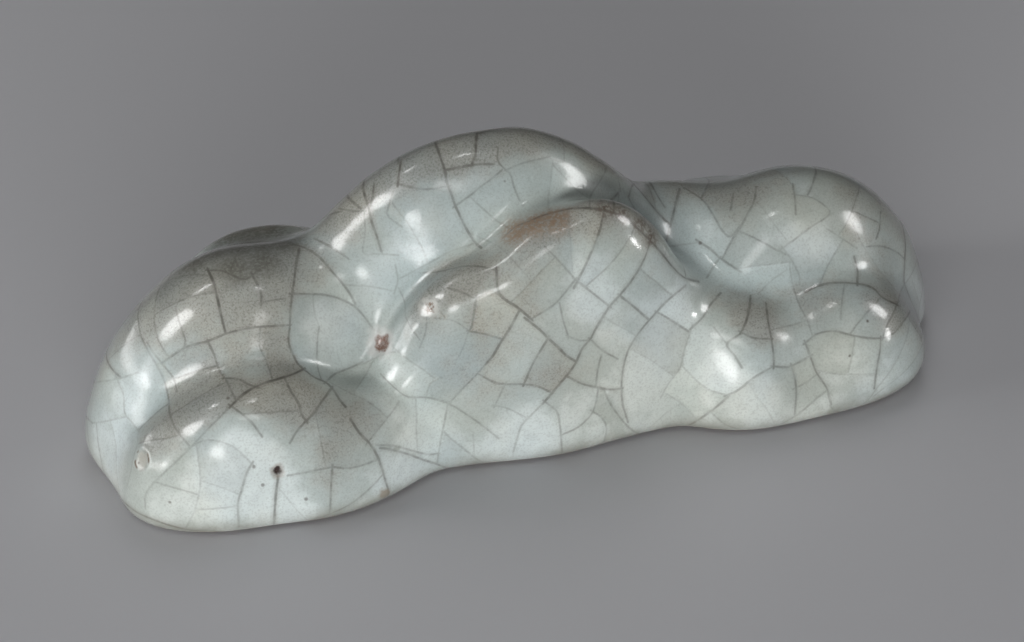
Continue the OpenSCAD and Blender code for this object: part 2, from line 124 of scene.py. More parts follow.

# The main cracks, drawn along those in the photograph: how dark each is, and pixels along it
PHOTO_CRACKS = {
    "left hill": [
        (0.6, [(163, 362), (186, 347), (208, 341), (225, 334), (240, 330), (257, 327), (288, 325)]),
        (0.25, [(94, 383), (118, 379), (137, 373)]),
        (0.95, [(208, 270), (214, 284), (218, 301), (220, 311), (225, 331)]),
        (0.5, [(176, 311), (181, 328), (185, 341), (183, 348)]),
        (0.6, [(208, 270), (223, 271), (236, 277), (246, 279), (258, 271)]),
        (0.7, [(252, 274), (258, 286), (261, 294), (261, 303)]),
        (0.3, [(261, 303), (269, 301), (282, 299)]),
        (0.5, [(208, 342), (214, 355), (219, 370), (225, 378), (230, 388), (235, 398)]),
        (0.35, [(260, 329), (259, 345), (263, 355), (268, 368), (272, 379)]),
        (0.4, [(149, 345), (154, 353), (163, 365), (173, 378), (176, 389)]),
        (0.35, [(119, 381), (124, 395), (125, 413), (133, 423), (139, 431)]),
        (0.25, [(94, 423), (107, 421), (125, 417)]),
        (0.2, [(139, 431), (139, 444), (134, 463), (129, 484)]),
    ],
    "left lower hill": [
        (0.35, [(146, 506), (147, 493), (158, 479), (175, 463), (192, 446), (206, 431),
                (219, 418), (231, 406)]),
        (1.0, [(231, 406), (242, 395), (253, 388), (265, 383), (280, 379), (293, 375), (303, 370)]),
        (0.65, [(225, 378), (238, 379), (248, 384), (256, 387)]),
        (0.7, [(231, 406), (242, 414), (253, 424), (261, 435)]),
        (0.75, [(285, 380), (291, 391), (299, 404), (301, 413), (306, 421)]),
        (0.8, [(306, 421), (314, 413), (322, 401), (331, 389)]),
        (0.55, [(306, 421), (297, 431), (291, 441)]),
        (0.3, [(189, 448), (206, 440), (227, 444), (240, 452), (252, 464)]),
        (0.6, [(252, 464), (246, 475), (242, 490), (238, 503), (239, 526)]),
        (1.0, [(278, 478), (276, 493), (275, 510), (274, 526)]),
        (0.5, [(290, 475), (307, 472), (321, 469), (332, 467), (349, 468), (363, 465), (378, 460)]),
        (0.6, [(332, 467), (331, 484), (330, 510)]),
        (0.85, [(351, 421), (359, 433), (369, 443), (377, 455), (383, 470), (387, 486), (388, 494)]),
    ],
    "valley left of the middle hill": [
        (0.75, [(299, 250), (296, 265), (294, 282), (292, 294), (290, 311), (289, 328),
                (288, 341), (292, 353), (297, 364), (303, 370)]),
        (0.6, [(292, 294), (312, 294), (326, 295), (341, 299), (354, 306), (363, 315), (371, 326)]),
        (0.25, [(313, 295), (314, 311), (318, 324)]),
        (0.85, [(303, 370), (314, 378), (325, 383), (333, 391), (339, 400), (344, 406)]),
        (0.6, [(325, 383), (335, 374), (347, 369), (360, 363)]),
    ],
    "middle hill": [
        (0.8, [(435, 142), (440, 156), (445, 171), (447, 183), (451, 193), (455, 205), (460, 216),
               (466, 228), (474, 241), (480, 247)]),
        (0.9, [(477, 132), (476, 143), (476, 153), (473, 162)]),
        (0.7, [(445, 170), (455, 168), (466, 166), (479, 164), (491, 164)]),
        (0.95, [(401, 162), (399, 175), (398, 184)]),
        (0.5, [(398, 184), (410, 187), (421, 189), (431, 189), (448, 186)]),
        (0.4, [(393, 193), (389, 205), (387, 215), (392, 220), (401, 226)]),
        (0.45, [(498, 150), (498, 161), (506, 170), (511, 175), (514, 186), (519, 198)]),
        (0.35, [(506, 170), (523, 163), (536, 160), (548, 157)]),
        (0.5, [(501, 171), (489, 181), (479, 188), (471, 195), (455, 206)]),
        (0.7, [(374, 186), (373, 195), (371, 204)]),
        (0.4, [(341, 209), (353, 211), (364, 211)]),
        (0.6, [(316, 239), (333, 248), (347, 258)]),
        (0.25, [(364, 212), (365, 234), (363, 253), (379, 254), (397, 255)]),
        (0.3, [(396, 268), (398, 280), (395, 291)]),
        (0.3, [(613, 163), (618, 179), (620, 189)]),
        (0.7, [(629, 196), (633, 185), (642, 178), (650, 184), (659, 197), (664, 205)]),
    ],
    "front crest": [
        (1.0, [(505, 236), (515, 226), (527, 221), (540, 216), (554, 213), (569, 210), (581, 209),
               (592, 209), (605, 211)]),
        (1.0, [(589, 209), (603, 210), (614, 213), (627, 219), (639, 229), (651, 241), (663, 254),
               (674, 267), (685, 277), (698, 281)]),
        (0.7, [(604, 209), (601, 225), (595, 243), (585, 266), (575, 286)]),
        (0.5, [(575, 280), (556, 303), (535, 317)]),
        (0.35, [(546, 248), (560, 262), (576, 280)]),
        (0.6, [(576, 280), (590, 291), (609, 306)]),
        (0.85, [(652, 236), (645, 257), (633, 278), (619, 295), (610, 305), (599, 322), (590, 339)]),
        (0.9, [(590, 339), (582, 349), (576, 363), (567, 376), (553, 393), (544, 403)]),
        (0.45, [(544, 403), (531, 416), (522, 425), (518, 436), (514, 450)]),
        (0.75, [(619, 295), (633, 306), (647, 318)]),
        (0.7, [(686, 286), (669, 300), (657, 312), (642, 329), (630, 346), (624, 363), (621, 383),
               (622, 402), (627, 420)]),
        (0.6, [(657, 312), (671, 320), (688, 331)]),
        (0.55, [(590, 339), (602, 350), (616, 358)]),
        (0.5, [(601, 357), (598, 369), (596, 383)]),
        (0.85, [(568, 377), (582, 384), (596, 387), (609, 389), (620, 388)]),
        (0.5, [(598, 389), (596, 401), (591, 414), (578, 427), (564, 434)]),
        (0.4, [(592, 411), (601, 417), (606, 427), (604, 441)]),
        (0.55, [(545, 402), (557, 412), (560, 425), (561, 436), (562, 451)]),
        (0.5, [(560, 305), (563, 320), (568, 336)]),
        (0.4, [(568, 336), (578, 340), (589, 340)]),
    ],
    "front shoulder": [
        (0.9, [(497, 271), (499, 293), (517, 307), (531, 319)]),
        (0.85, [(526, 319), (540, 330), (548, 338), (558, 347), (567, 356), (575, 361)]),
        (0.5, [(451, 289), (464, 293), (476, 298), (490, 291), (500, 295)]),
        (0.55, [(476, 298), (474, 311), (472, 325), (469, 331)]),
        (0.6, [(469, 331), (484, 334), (501, 339)]),
        (0.8, [(518, 313), (511, 327), (502, 341), (493, 356), (487, 363)]),
        (0.35, [(487, 363), (473, 378), (462, 389), (449, 403)]),
        (0.75, [(548, 338), (540, 351), (532, 365), (524, 384)]),
        (0.6, [(481, 375), (495, 382), (509, 384), (522, 384), (538, 387), (551, 393)]),
        (0.35, [(505, 384), (500, 394), (495, 405)]),
        (0.25, [(495, 405), (509, 409), (526, 418)]),
        (0.3, [(427, 313), (426, 331), (421, 345)]),
        (0.2, [(437, 318), (455, 321), (469, 331)]),
        (0.2, [(458, 357), (464, 345), (468, 332)]),
        (0.5, [(386, 376), (404, 394), (426, 396), (448, 403), (464, 412), (477, 421), (491, 432),
               (497, 437)]),
        (0.45, [(447, 406), (444, 423), (440, 441), (437, 461)]),
        (0.35, [(367, 443), (382, 423), (395, 405)]),
        (0.5, [(378, 445), (395, 446), (413, 451), (428, 454), (437, 453)]),
        (0.25, [(473, 436), (474, 453)]),
        (0.2, [(426, 396), (430, 383), (439, 378)]),
    ],
    "right hill": [
        (0.9, [(679, 191), (674, 211), (670, 228), (666, 243)]),
        (0.55, [(686, 190), (703, 201), (713, 215), (722, 230), (730, 237), (738, 229)]),
        (0.65, [(698, 241), (710, 249), (720, 258), (730, 265), (739, 271)]),
        (0.55, [(719, 259), (714, 266), (707, 277)]),
        (0.6, [(756, 188), (754, 201), (747, 215), (739, 230), (732, 240), (723, 257)]),
        (0.5, [(733, 195), (731, 208)]),
        (0.6, [(793, 185), (795, 196), (796, 212)]),
        (0.4, [(795, 194), (814, 198), (830, 211), (824, 219), (814, 225), (802, 234), (790, 243),
               (783, 248)]),
        (0.6, [(880, 214), (879, 228), (876, 237)]),
        (0.3, [(783, 248), (791, 259), (799, 274), (800, 282)]),
        (0.25, [(738, 269), (754, 266), (773, 264), (789, 262)]),
        (0.2, [(759, 293), (771, 281), (785, 271)]),
        (0.3, [(829, 230), (841, 238), (854, 247)]),
    ],
    "right lower hill": [
        (1.0, [(807, 291), (817, 286), (831, 283), (846, 283), (861, 285), (873, 289), (882, 298),
               (896, 305)]),
        (0.45, [(844, 286), (842, 300), (841, 317)]),
        (0.95, [(854, 259), (857, 271), (857, 284)]),
        (0.6, [(805, 343), (817, 334), (834, 331), (851, 335), (868, 338), (882, 338), (894, 333),
               (904, 320), (910, 311)]),
        (0.6, [(896, 305), (892, 315), (887, 325), (883, 338)]),
        (0.75, [(881, 339), (880, 351), (877, 368), (875, 387)]),
        (0.7, [(805, 343), (812, 361), (817, 373), (827, 388), (831, 403)]),
        (0.3, [(795, 388), (805, 383), (818, 374)]),
    ],
    "right knoll": [
        (0.65, [(719, 295), (710, 305), (703, 317), (692, 328)]),
        (0.3, [(692, 328), (685, 349), (680, 368), (669, 383), (662, 395)]),
        (0.85, [(750, 298), (749, 310), (746, 322), (741, 332)]),
        (0.55, [(741, 332), (754, 338), (770, 339)]),
        (0.6, [(740, 334), (727, 344), (735, 356), (741, 366)]),
        (0.3, [(715, 329), (727, 344)]),
        (0.85, [(766, 305), (768, 320), (771, 339), (773, 356), (773, 366)]),
        (0.6, [(772, 366), (783, 367), (791, 366), (810, 356)]),
        (0.55, [(771, 367), (754, 377), (739, 389), (727, 395)]),
        (0.25, [(727, 395), (705, 388), (684, 368)]),
        (0.65, [(791, 366), (795, 380), (796, 395), (795, 412)]),
    ],
}

# Flaws in the glaze, with painted shade and a painted highlight, by the pixel each is seen at
IRON_SPOT = (383, 343)
PITTED_SPOT = (430, 307)
PINHOLE = (278, 471)
RING_FLAW = (143, 460)
GRIT_BUMP = (384, 494)
RUSTY_CREST = ((516, 230), (534, 223), (554, 219))
# A dark line painted along the top edge of the front crest's right part
DARK_CREST = ((606, 209), (622, 213), (640, 224), (652, 236))
# Painted shade over the back of the left hill's top, which faces away from the lamps
PAINTED_SHADE_CREST = (
    (196, 262), (215, 254), (238, 248), (262, 245), (286, 243), (235, 268), (262, 262), (226, 239),
    (250, 235), (276, 233),
)
DARKER_SPECKS = ((850, 356), (868, 321), (140, 463))
SPECKS = ((263, 485), (254, 467), (306, 499), (170, 502), (228, 398), (700, 243), (505, 181))

# Relief of the flaws in millimetres: pixel, radius and height, and for the ring its radius as well
FLAW_RELIEF = ((IRON_SPOT, 1.5, -0.35), (PITTED_SPOT, 1.3, -0.3), (PINHOLE, 0.7, -0.5), (GRIT_BUMP, 1.1, 0.5))
RING_RADIUS, RING_WIDTH, RING_HEIGHT = 1.7, 0.5, 0.12
RING_MIDDLE_RADIUS, RING_MIDDLE_DEPTH = 1.1, 0.1
RING_LINE_RADIUS = 1.5  # of the dark line along the ring

# Folds that the glaze has run into: pixel, reach and extra thickness in millimetres
FILLED_FOLDS = (((372, 383), 5, 0.9), ((398, 398), 5, 0.9), ((508, 278), 5, 0.7), ((500, 262), 4, 0.5))

# Where the glaze is thin and greyish, and where it is thick: pixel and reach in millimetres. Some thin blots
# are painted shade on the back of the left hill's top, and a thick one is painted light in the shaded hollow
# beside the spur
THIN_GLAZE_AND_SHADE = (
    ((150, 318), 6), ((190, 290), 7), ((235, 278), 8), ((275, 285), 8), ((255, 325), 7), ((150, 440), 4),
    # ((215, 262), 6) and ((250, 262), 6) are painted shade on the back of the left hill's top
    ((172, 415), 4), ((200, 400), 4), ((240, 392), 4), ((285, 392), 5), ((300, 425), 4), ((215, 262), 6),
    ((250, 262), 6), ((235, 248), 8), ((205, 275), 6), ((340, 415), 3), ((345, 235), 6), ((385, 190), 7),
    ((430, 165), 7), ((480, 150), 7), ((530, 145), 6), ((590, 155), 6), ((440, 290), 5), ((475, 282), 6),
    ((455, 310), 6), ((500, 310), 6), ((510, 340), 7), ((540, 370), 6), ((535, 235), 5), ((590, 225), 4),
    ((640, 245), 5), ((645, 275), 4), ((600, 360), 5), ((440, 360), 5), ((720, 305), 4), ((760, 325), 4),
    ((790, 290), 5), ((480, 390), 6), ((335, 480), 4), ((525, 345), 6), ((190, 365), 4),
    ((830, 300), 2.5), ((872, 308), 3), ((890, 325), 3), ((800, 395), 3), ((330, 476), 5),
    ((205, 362), 5), ((520, 354), 6), ((690, 190), 4), ((750, 195), 3), ((850, 215), 5), ((895, 260), 5),
)
THICK_GLAZE_AND_LIGHT = (
    ((205, 480), 7), ((110, 430), 6), ((190, 360), 4), ((300, 500), 5), ((335, 320), 7), ((250, 440), 5),
    ((420, 235), 6), ((470, 215), 5), ((520, 185), 5), ((570, 180), 5), ((600, 300), 5), ((585, 265), 4),
    ((645, 370), 5), ((660, 330), 5), ((700, 350), 5), ((770, 240), 6), ((700, 240), 5), ((840, 355), 6),
    ((745, 405), 6), ((820, 245), 5), ((420, 430), 4), ((520, 440), 4), ((780, 185), 7), ((825, 190), 6),
    # ((375, 385), 4) is painted light in the shaded hollow beside the spur
    ((375, 385), 4), ((708, 352), 5), ((335, 334), 5), ((852, 312), 3),
)
BLOT_WEIGHT = 0.6

# Colours of the glaze from thick to thin, where it pools, and of what lies in it
GLAZE_WHITE, GLAZE_PALE = (0.70, 0.755, 0.72), (0.475, 0.525, 0.49)
GLAZE_GREY, GLAZE_BLUE = (0.365, 0.37, 0.33), (0.49, 0.565, 0.54)
SPECKLE, MILK = (0.17, 0.17, 0.145), (0.72, 0.76, 0.74)
STAIN, INK = (0.2, 0.18, 0.145), (0.085, 0.08, 0.065)
GLAZE_ROUGHNESS, COAT_ROUGHNESS = 0.36, 0.14
PEEL_SIZE, PEEL_HEIGHT = 0.9, 0.02  # dimples of the glaze, like orange peel
WARMING = (0.015, 0.0, -0.02)  # how red, green and blue follow the warmth of a plate
# Darker warm grey towards the glaze's lower edge: partly its own tint, partly painted shade where it turns
# under
FOOT_TINT_AND_SHADE = (0.25, 0.24, 0.195)

# Colours of the flaws, of painted shade and of a painted highlight
RUST, CREST_DARK_LINE, PAINTED_SHADE = (0.3, 0.2, 0.125), (0.12, 0.085, 0.06), (0.125, 0.12, 0.095)
IRON_HALO, IRON = (0.74, 0.73, 0.7), (0.23, 0.125, 0.09)
# The pale ring round the pitted spot is a painted highlight
PIT_PAINTED_HIGHLIGHT, PIT = (0.6, 0.6, 0.56), (0.16, 0.1, 0.06)
HOLE_HALO, HOLE = (0.25, 0.18, 0.13), (0.03, 0.014, 0.01)
RING_FILL, RING = (0.5, 0.47, 0.4), (0.16, 0.12, 0.085)
GRIT, SPECK = (0.3, 0.23, 0.16), (0.07, 0.05, 0.035)

# Colours of the clay, the floor and the room
CLAY, DARK_CLAY, CLAY_GRAIN = (0.23, 0.12, 0.065), (0.14, 0.075, 0.045), (0.33, 0.24, 0.17)
FLOOR, FLOOR_SIZE = (0.66, 0.66, 0.685), 6
CLAY_ROUGHNESS, FLOOR_ROUGHNESS = 0.85, 0.9
ROOM, ROOM_STRENGTH = (0.83, 0.83, 0.84, 1), 0.085

# Lamps: degrees round from the front and up from the table, distance and size in metres, and watts.
# The first ones light the range and the others are only mirrored in the glaze.
LIGHTING_LAMPS = (
    ("low front", -18, 8, 1.1, (0.9, 0.25), 8.8),
    ("low left", -95, 12, 1.0, (0.4, 0.3), 3.0),
    ("high left", -35, 50, 1.2, (0.6, 0.6), 0.35),
    ("back right", 160, 52, 1.3, (0.8, 0.8), 2.5),
)
MIRRORED_LAMPS = (
    ("mirrored left", -62, 39, 0.9, (0.34, 0.26), 2.2),
    ("mirrored left strip", -98, 11, 0.9, (1.2, 0.14), 1.8),
    ("mirrored low left", -66, 14, 0.9, (0.20, 0.10), 0.55),
    ("mirrored front", -18, 18, 1.0, (0.16, 0.15), 0.65),
    ("mirrored high front", 0, 38, 0.9, (0.2, 0.16), 0.3),
    ("mirrored low right", 58, 11, 0.9, (0.07, 0.11), 0.5),
    ("mirrored right", 68, 28, 0.9, (0.22, 0.24), 1.25),
    ("mirrored top", 12, 68, 0.9, (0.06, 0.06), 0.14),
    ("mirrored top left", -90, 63, 0.9, (0.04, 0.16), 0.28),
)


def mound_gap(p, hill):
    """Gap from points to one egg-shaped mound: negative inside it."""
    place, half, turn = hill
    c, s = math.cos(math.radians(turn)), math.sin(math.radians(turn))
    q = p - np.array(place, float)
    a = np.stack([q[:, 0] * c + q[:, 1] * s, q[:, 1] * c - q[:, 0] * s, q[:, 2]], 1) / np.array(half, float)
    k = np.linalg.norm(a, axis=1)
    return k * (k - 1) / np.maximum(np.linalg.norm(a / np.array(half, float), axis=1), 0.0001)


def soft_least(gaps, soft):
    """The least of several gaps, rounded off where two are nearly equal."""
    least = np.min(gaps, axis=0)
    return least - soft * np.log(sum(np.exp((least - g) / soft) for g in gaps))


def range_gap(p):
    main = soft_least([mound_gap(p, h) for h in MAIN_HILLS.values()], VALLEY_SOFTNESS)
    front = soft_least([mound_gap(p, h) for h in FRONT_HILLS.values()], LOW_VALLEY_SOFTNESS)
    back = soft_least([mound_gap(p, h) for h in BACK_HILLS.values()], LOW_VALLEY_SOFTNESS)
    return soft_least([main, front, back], CREASE_SOFTNESS)


def skin_gap(p, depth=0.0):
    """Gap to a skin at a depth inside the range, turned under where it nears the table."""
    gap = range_gap(p) + depth
    near = np.maximum(FOOT_ROUNDING - np.abs(gap + p[:, 2]), 0) / FOOT_ROUNDING
    return np.maximum(gap, -p[:, 2]) + near * near * FOOT_ROUNDING / 4


def skin_points(start, way, depth):
    """Where rays from inside the range cross the skin, by the false-position method."""
    near, far = np.zeros(len(start)), np.full(len(start), RAY_LENGTH)
    gap_near = skin_gap(start, depth)
    gap_far = skin_gap(start + far[:, None] * way, depth)
    last = np.zeros(len(start))
    for _ in range(RAY_ROUNDS):
        at = (near * gap_far - far * gap_near) / (gap_far - gap_near)
        gap = skin_gap(start + at[:, None] * way, depth)
        inside = gap < 0
        gap_far = np.where(inside, np.where(last < 0, gap_far / 2, gap_far), gap)
        gap_near = np.where(inside, gap, np.where(last > 0, gap_near / 2, gap_near))
        near, far = np.where(inside, at, near), np.where(inside, far, at)
        last = np.where(inside, -1, 1)
        if np.abs(gap).max() < RAY_CLOSE:
            break
    return start + at[:, None] * way


def outward(p, step=0.1):
    """Outward directions of the skin at points."""
    n = np.stack([skin_gap(p + d) - skin_gap(p - d) for d in np.eye(3) * step], 1)
    return n / np.linalg.norm(n, axis=1)[:, None]


def skin_grid(grain, angles, levels, depth):
    """Points of a skin by cross-section and place round it, with a row for the tip at each end."""
    middle, fan = int((LINE_RIGHT - LINE_LEFT) / grain), int(TIP_LENGTH / grain)
    leans = np.radians(np.arange(1, fan + 1) * 90 / (fan + 1))
    along = np.linspace(LINE_LEFT, LINE_RIGHT, middle + 1)
    start = np.concatenate([[LINE_LEFT] * (fan + 1), along, [LINE_RIGHT] * (fan + 1)])
    lean = np.concatenate([[-math.pi / 2], -leans[::-1], np.zeros(middle + 1), leans, [math.pi / 2]])
    around = np.concatenate([np.zeros(len(levels)), angles, np.full(len(levels), math.pi)])
    height = np.concatenate([levels[::-1], np.full(len(angles), SLAB_THICKNESS), levels])
    from_x, angle = np.meshgrid(start, around, indexing="ij")
    lean_by, from_z = np.meshgrid(lean, height, indexing="ij")
    origin = np.stack([from_x, np.full_like(from_x, LINE_BACK), from_z], -1).reshape(-1, 3)
    way = [np.sin(lean_by), -np.cos(lean_by) * np.cos(angle), np.cos(lean_by) * np.sin(angle)]
    way = np.stack(way, -1).reshape(-1, 3)
    return skin_points(origin, way, depth).reshape(len(start), len(around), 3)


def grid_numbers(rows, wide, level_count, first=0):
    """Numbers of a grid's points, where each tip row is one column shared by front and back."""
    j = np.arange(wide)
    top_to = wide - 1 - level_count
    level = np.where(j < level_count, level_count - j, np.where(j > top_to, j - top_to, 0))
    numbers = first + np.arange((rows - 2) * wide).reshape(rows - 2, wide)
    left = first + (rows - 2) * wide + level
    return np.vstack([left, numbers, left + level_count + 1])


def grid_points(grid, level_count):
    """The same points as a list, in the order that grid_numbers counts them."""
    column = [level_count - k for k in range(level_count + 1)]
    return np.vstack([grid[1:-1].reshape(-1, 3), grid[0, column], grid[-1, column]])


def grid_faces(numbers):
    """Quads between neighbouring rows, facing out, and triangles where a quad meets a tip."""
    a, b, c, d = numbers[:-1, :-1], numbers[:-1, 1:], numbers[1:, 1:], numbers[1:, :-1]
    faces = []
    for f in np.stack([a, d, c, b], -1).reshape(-1, 4).tolist():
        f = [v for i, v in enumerate(f) if v != f[i - 1]]
        if len(f) > 2:
            faces.append(f)
    return faces


def rim_faces(outer, inner):
    """Faces from the lowest points of the outer side to those of the inner side."""
    columns = [(outer[:, 0], inner[:, 0]), (inner[:, -1], outer[:, -1])]
    return [f for a, b in columns for f in grid_faces(np.stack([a, b], 1))]


def camera_axes():
    """Directions to the right, up and forward in the camera's view."""
    level = math.cos(ELEVATION)
    forward = np.array((-math.sin(AZIMUTH) * level, math.cos(AZIMUTH) * level, -math.sin(ELEVATION)))
    right = np.cross(forward, (0, 0, 1))
    right /= np.linalg.norm(right)
    return right, np.cross(right, forward), forward


def seen_at(pixels):
    """Points of the skin that the camera sees at pixels of the photograph, and which pixels hit it."""
    right, up, forward = camera_axes()
    eye = CAMERA_AIM - forward * CAMERA_DISTANCE
    pixels = np.array(pixels, float).reshape(-1, 2)
    across = (pixels[:, 0] - PHOTO_SIZE[0] / 2) / PHOTO_SIZE[0] * SENSOR / LENS
    rise = (PHOTO_SIZE[1] / 2 - pixels[:, 1]) / PHOTO_SIZE[0] * SENSOR / LENS
    way = forward + across[:, None] * right + rise[:, None] * up
    at = np.full(len(pixels), np.nan)
    before = np.full(len(pixels), 1.0)
    for t in np.arange(CAMERA_DISTANCE - SEARCH_REACH, CAMERA_DISTANCE + SEARCH_REACH, SEARCH_STEP):
        gap = skin_gap(eye + t * way)
        new = (gap < 0) & np.isnan(at)
        at[new] = t - SEARCH_STEP * gap[new] / (gap[new] - before[new])
        before = gap
    return eye + np.nan_to_num(at)[:, None] * way, ~np.isnan(at)


def place_at(pixel):
    """The point of the skin that the camera sees at one pixel."""
    return seen_at(pixel)[0][0]


def drawn_line(pixels):
    """A drawn crack as pixels in small steps, bent smoothly through the points given."""
    p = np.array(pixels, float)
    p = np.vstack([2 * p[0] - p[1], p, 2 * p[-1] - p[-2]])
    line = []
    for a, b, c, d in zip(p, p[1:], p[2:], p[3:]):
        t = np.linspace(0, 1, max(2, int(np.linalg.norm(c - b) / 2)), endpoint=False)[:, None]
        curve = (2 * a - 5 * b + 4 * c - d) * t**2
        line.append(0.5 * (2 * b + (c - a) * t + curve + (3 * b - a - 3 * c + d) * t**3))
    return np.vstack(line + [p[-2:-1]])


def photo_cracks():
    """The drawn cracks laid on the skin, as (points, darkness), cut where a crest hides part of one."""
    drawn = [line for lines in PHOTO_CRACKS.values() for line in lines]
    lines = [drawn_line(pixels) for _, pixels in drawn]
    points, hit = seen_at(np.vstack(lines))
    ends = np.cumsum([len(line) for line in lines])[:-1]
    cracks = []
    for (dark, _), line, seen in zip(drawn, np.split(points, ends), np.split(hit, ends)):
        line = line[seen]
        jumps = np.where(np.linalg.norm(np.diff(line, axis=0), axis=1) > CREST_JUMP)[0] + 1
        cracks += [(part, dark) for part in np.split(line, jumps) if len(part) > SHORTEST_CRACK]
    return cracks


class Skin:
    """Points over the skin with their outward directions, for work that moves along it."""

    def __init__(self, points):
        self.points, self.normals = points, outward(points)
        self.tree = kdtree.KDTree(len(points))
        for i, p in enumerate(points):
            self.tree.insert(p, i)
        self.tree.balance()

    def onto(self, p):
        """The point of the skin next to p, and its outward direction."""
        _, i, _ = self.tree.find(p)
        n = self.normals[i]
        return p - n * np.dot(p - self.points[i], n), n


def grow_one(skin, start, way, cracks_so_far, rng):
    """Points of a crack that grows over the skin from start until it meets another or the foot."""
    bend = rng.normal(0, BEND)
    line, p = [], start
    for _ in range(MOST_STEPS):
        p, n = skin.onto(p + CRACK_STEP * way)
        way = way - n * np.dot(way, n) + np.cross(n, way) * (bend + rng.normal(0, WANDER))
        way /= np.linalg.norm(way)
        if p[2] < GLAZE_EDGE_HEIGHT + FOOT_MARGIN:
            break
        away = np.linalg.norm(cracks_so_far - p, axis=1).min()
        if away < MEETING:
            break
        line.append(p)
    return line


def grown_cracks(skin, drawn, facing):
    """Cracks that fill the rest of the glaze: each starts where the glaze is furthest from a crack and
    runs straight to the nearest one, and on the other way until it meets another."""
    rng = np.random.RandomState(CRACK_SEED)
    cracks = []
    so_far = np.vstack([points for points, _ in drawn])
    starts = np.arange(0, len(skin.points), 3)
    at = skin.points[starts]
    wanted = np.where(facing[starts], FACING_SPACING, CRACK_SPACING)
    wanted = wanted * rng.uniform(*SPACING_SPREAD, len(starts))
    near = np.full(len(starts), FAR)
    for part in np.array_split(so_far, len(so_far) // BATCH + 1):
        near = np.minimum(near, np.linalg.norm(at[:, None] - part[None], axis=2).min(1))
    while len(cracks) < MOST_CRACKS:
        i = int(np.argmax(near / wanted))
        if near[i] < wanted[i]:
            break
        p, n = skin.onto(at[i])
        to_nearest = so_far[np.argmin(np.linalg.norm(so_far - p, axis=1))] - p
        way = to_nearest - n * np.dot(to_nearest, n)
        way /= np.linalg.norm(way)
        line = grow_one(skin, p, -way, so_far, rng)[::-1] + [p] + grow_one(skin, p, way, so_far, rng)
        line = np.array(line)
        so_far = np.vstack([so_far, line])
        close = np.linalg.norm(at - p, axis=1) < GROWTH_REACH
        to_line = np.linalg.norm(at[close][:, None] - line[None], axis=2).min(1)
        near[close] = np.minimum(near[close], to_line)
        if len(line) > SHORTEST_CRACK:
            dark = rng.choice(GROWN_DARKNESS, p=GROWN_SHARES)
            cracks.append((line, dark * (FACING_DARKNESS if facing[starts][i] else 1)))
    return cracks


def crack_layers(points, normals, cracks):
    """For each layer and point: the side of the nearest crack and how far, the distance to the crack
    itself, which grows past its ends, and how dark it is."""
    layers = np.zeros((CRACK_LAYERS, len(points), 3))
    layers[:, :, :2] = NO_CRACK
    nearest = np.full(len(points), NO_CRACK)
    for line, dark in cracks:
        low, high = line.min(0) - CRACK_REACH, line.max(0) + CRACK_REACH
        ids = np.where(((points > low) & (points < high)).all(1))[0]
        if not len(ids):
            continue
        p = points[ids]
        best, side = np.full(len(ids), FAR), np.zeros(len(ids))
        for a, d in zip(line[:-1], np.diff(line, axis=0)):
            t = np.clip((p - a) @ d / (d @ d), 0, 1)
            off = p - (a + t[:, None] * d)
            away = np.linalg.norm(off, axis=1)
            closer = away < best
            across = np.cross(normals[ids], d / np.linalg.norm(d))
            best = np.where(closer, away, best)
            side = np.where(closer, (off * across).sum(1), side)
        reach = best < CRACK_REACH
        ids, best, side = ids[reach], best[reach], side[reach]
        nearest[ids] = np.minimum(nearest[ids], best)
        clash = [((layers[k, ids, 1] < 1.0) & (best < 1.0)).sum() for k in range(CRACK_LAYERS)]
        k = int(np.argmin(clash))
        closer = best < layers[k, ids, 1]
        layers[k, ids[closer]] = np.stack([side, best, np.full(len(best), dark)], 1)[closer]
    return layers, nearest


def plate_tints(numbers, nearest):
    """A random number for each plate of glaze between cracks, at every point of the mesh."""
    across = np.stack([numbers[:-1].ravel(), numbers[1:].ravel()], 1)
    along = np.stack([numbers[:, :-1].ravel(), numbers[:, 1:].ravel()], 1)
    edges = np.vstack([across, along])
    free = nearest > PLATE_GAP
    joined = edges[free[edges].all(1)]
    label = np.arange(len(nearest))
    for _ in range(SPREAD_ROUNDS):
        old = label.copy()
        np.minimum.at(label, joined[:, 0], label[joined[:, 1]])
        np.minimum.at(label, joined[:, 1], label[joined[:, 0]])
        label = label[label]
        if (label == old).all():
            break
    rng = np.random.RandomState(PLATE_SEED)
    tint = rng.normal(0, 1, (len(nearest), 3))[label]
    known = free.copy()
    for _ in range(FILL_ROUNDS):
        for a, b in (edges.T, edges.T[::-1]):
            take = known[a] & ~known[b]
            tint[b[take]] = tint[a[take]]
            known[b[take]] = True
    return np.clip(tint, -MOST_TINT, MOST_TINT)


def depth_and_painted_light(p):
    """Where the photograph shows the glaze thin or thick, from 1 to -1, with some blots that are painted
    shade and painted light.
    """
    depth = np.zeros(len(p))
    for blots, sign in ((THIN_GLAZE_AND_SHADE, 1), (THICK_GLAZE_AND_LIGHT, -1)):
        places, hit = seen_at([pixel for pixel, _ in blots])
        for place, (_, reach), ok in zip(places, blots, hit):
            if ok:
                depth += sign * BLOT_WEIGHT * np.exp(-(((p - place) ** 2).sum(1) / reach**2))
    return np.clip(depth, -1, 1)


def roundness(p, step):
    """How sharply the range bulges at points, per millimetre: negative in hollows."""
    offs = np.vstack([np.eye(3), -np.eye(3)]) * step
    return (sum(range_gap(p + d) for d in offs) - len(offs) * range_gap(p)) / step**2


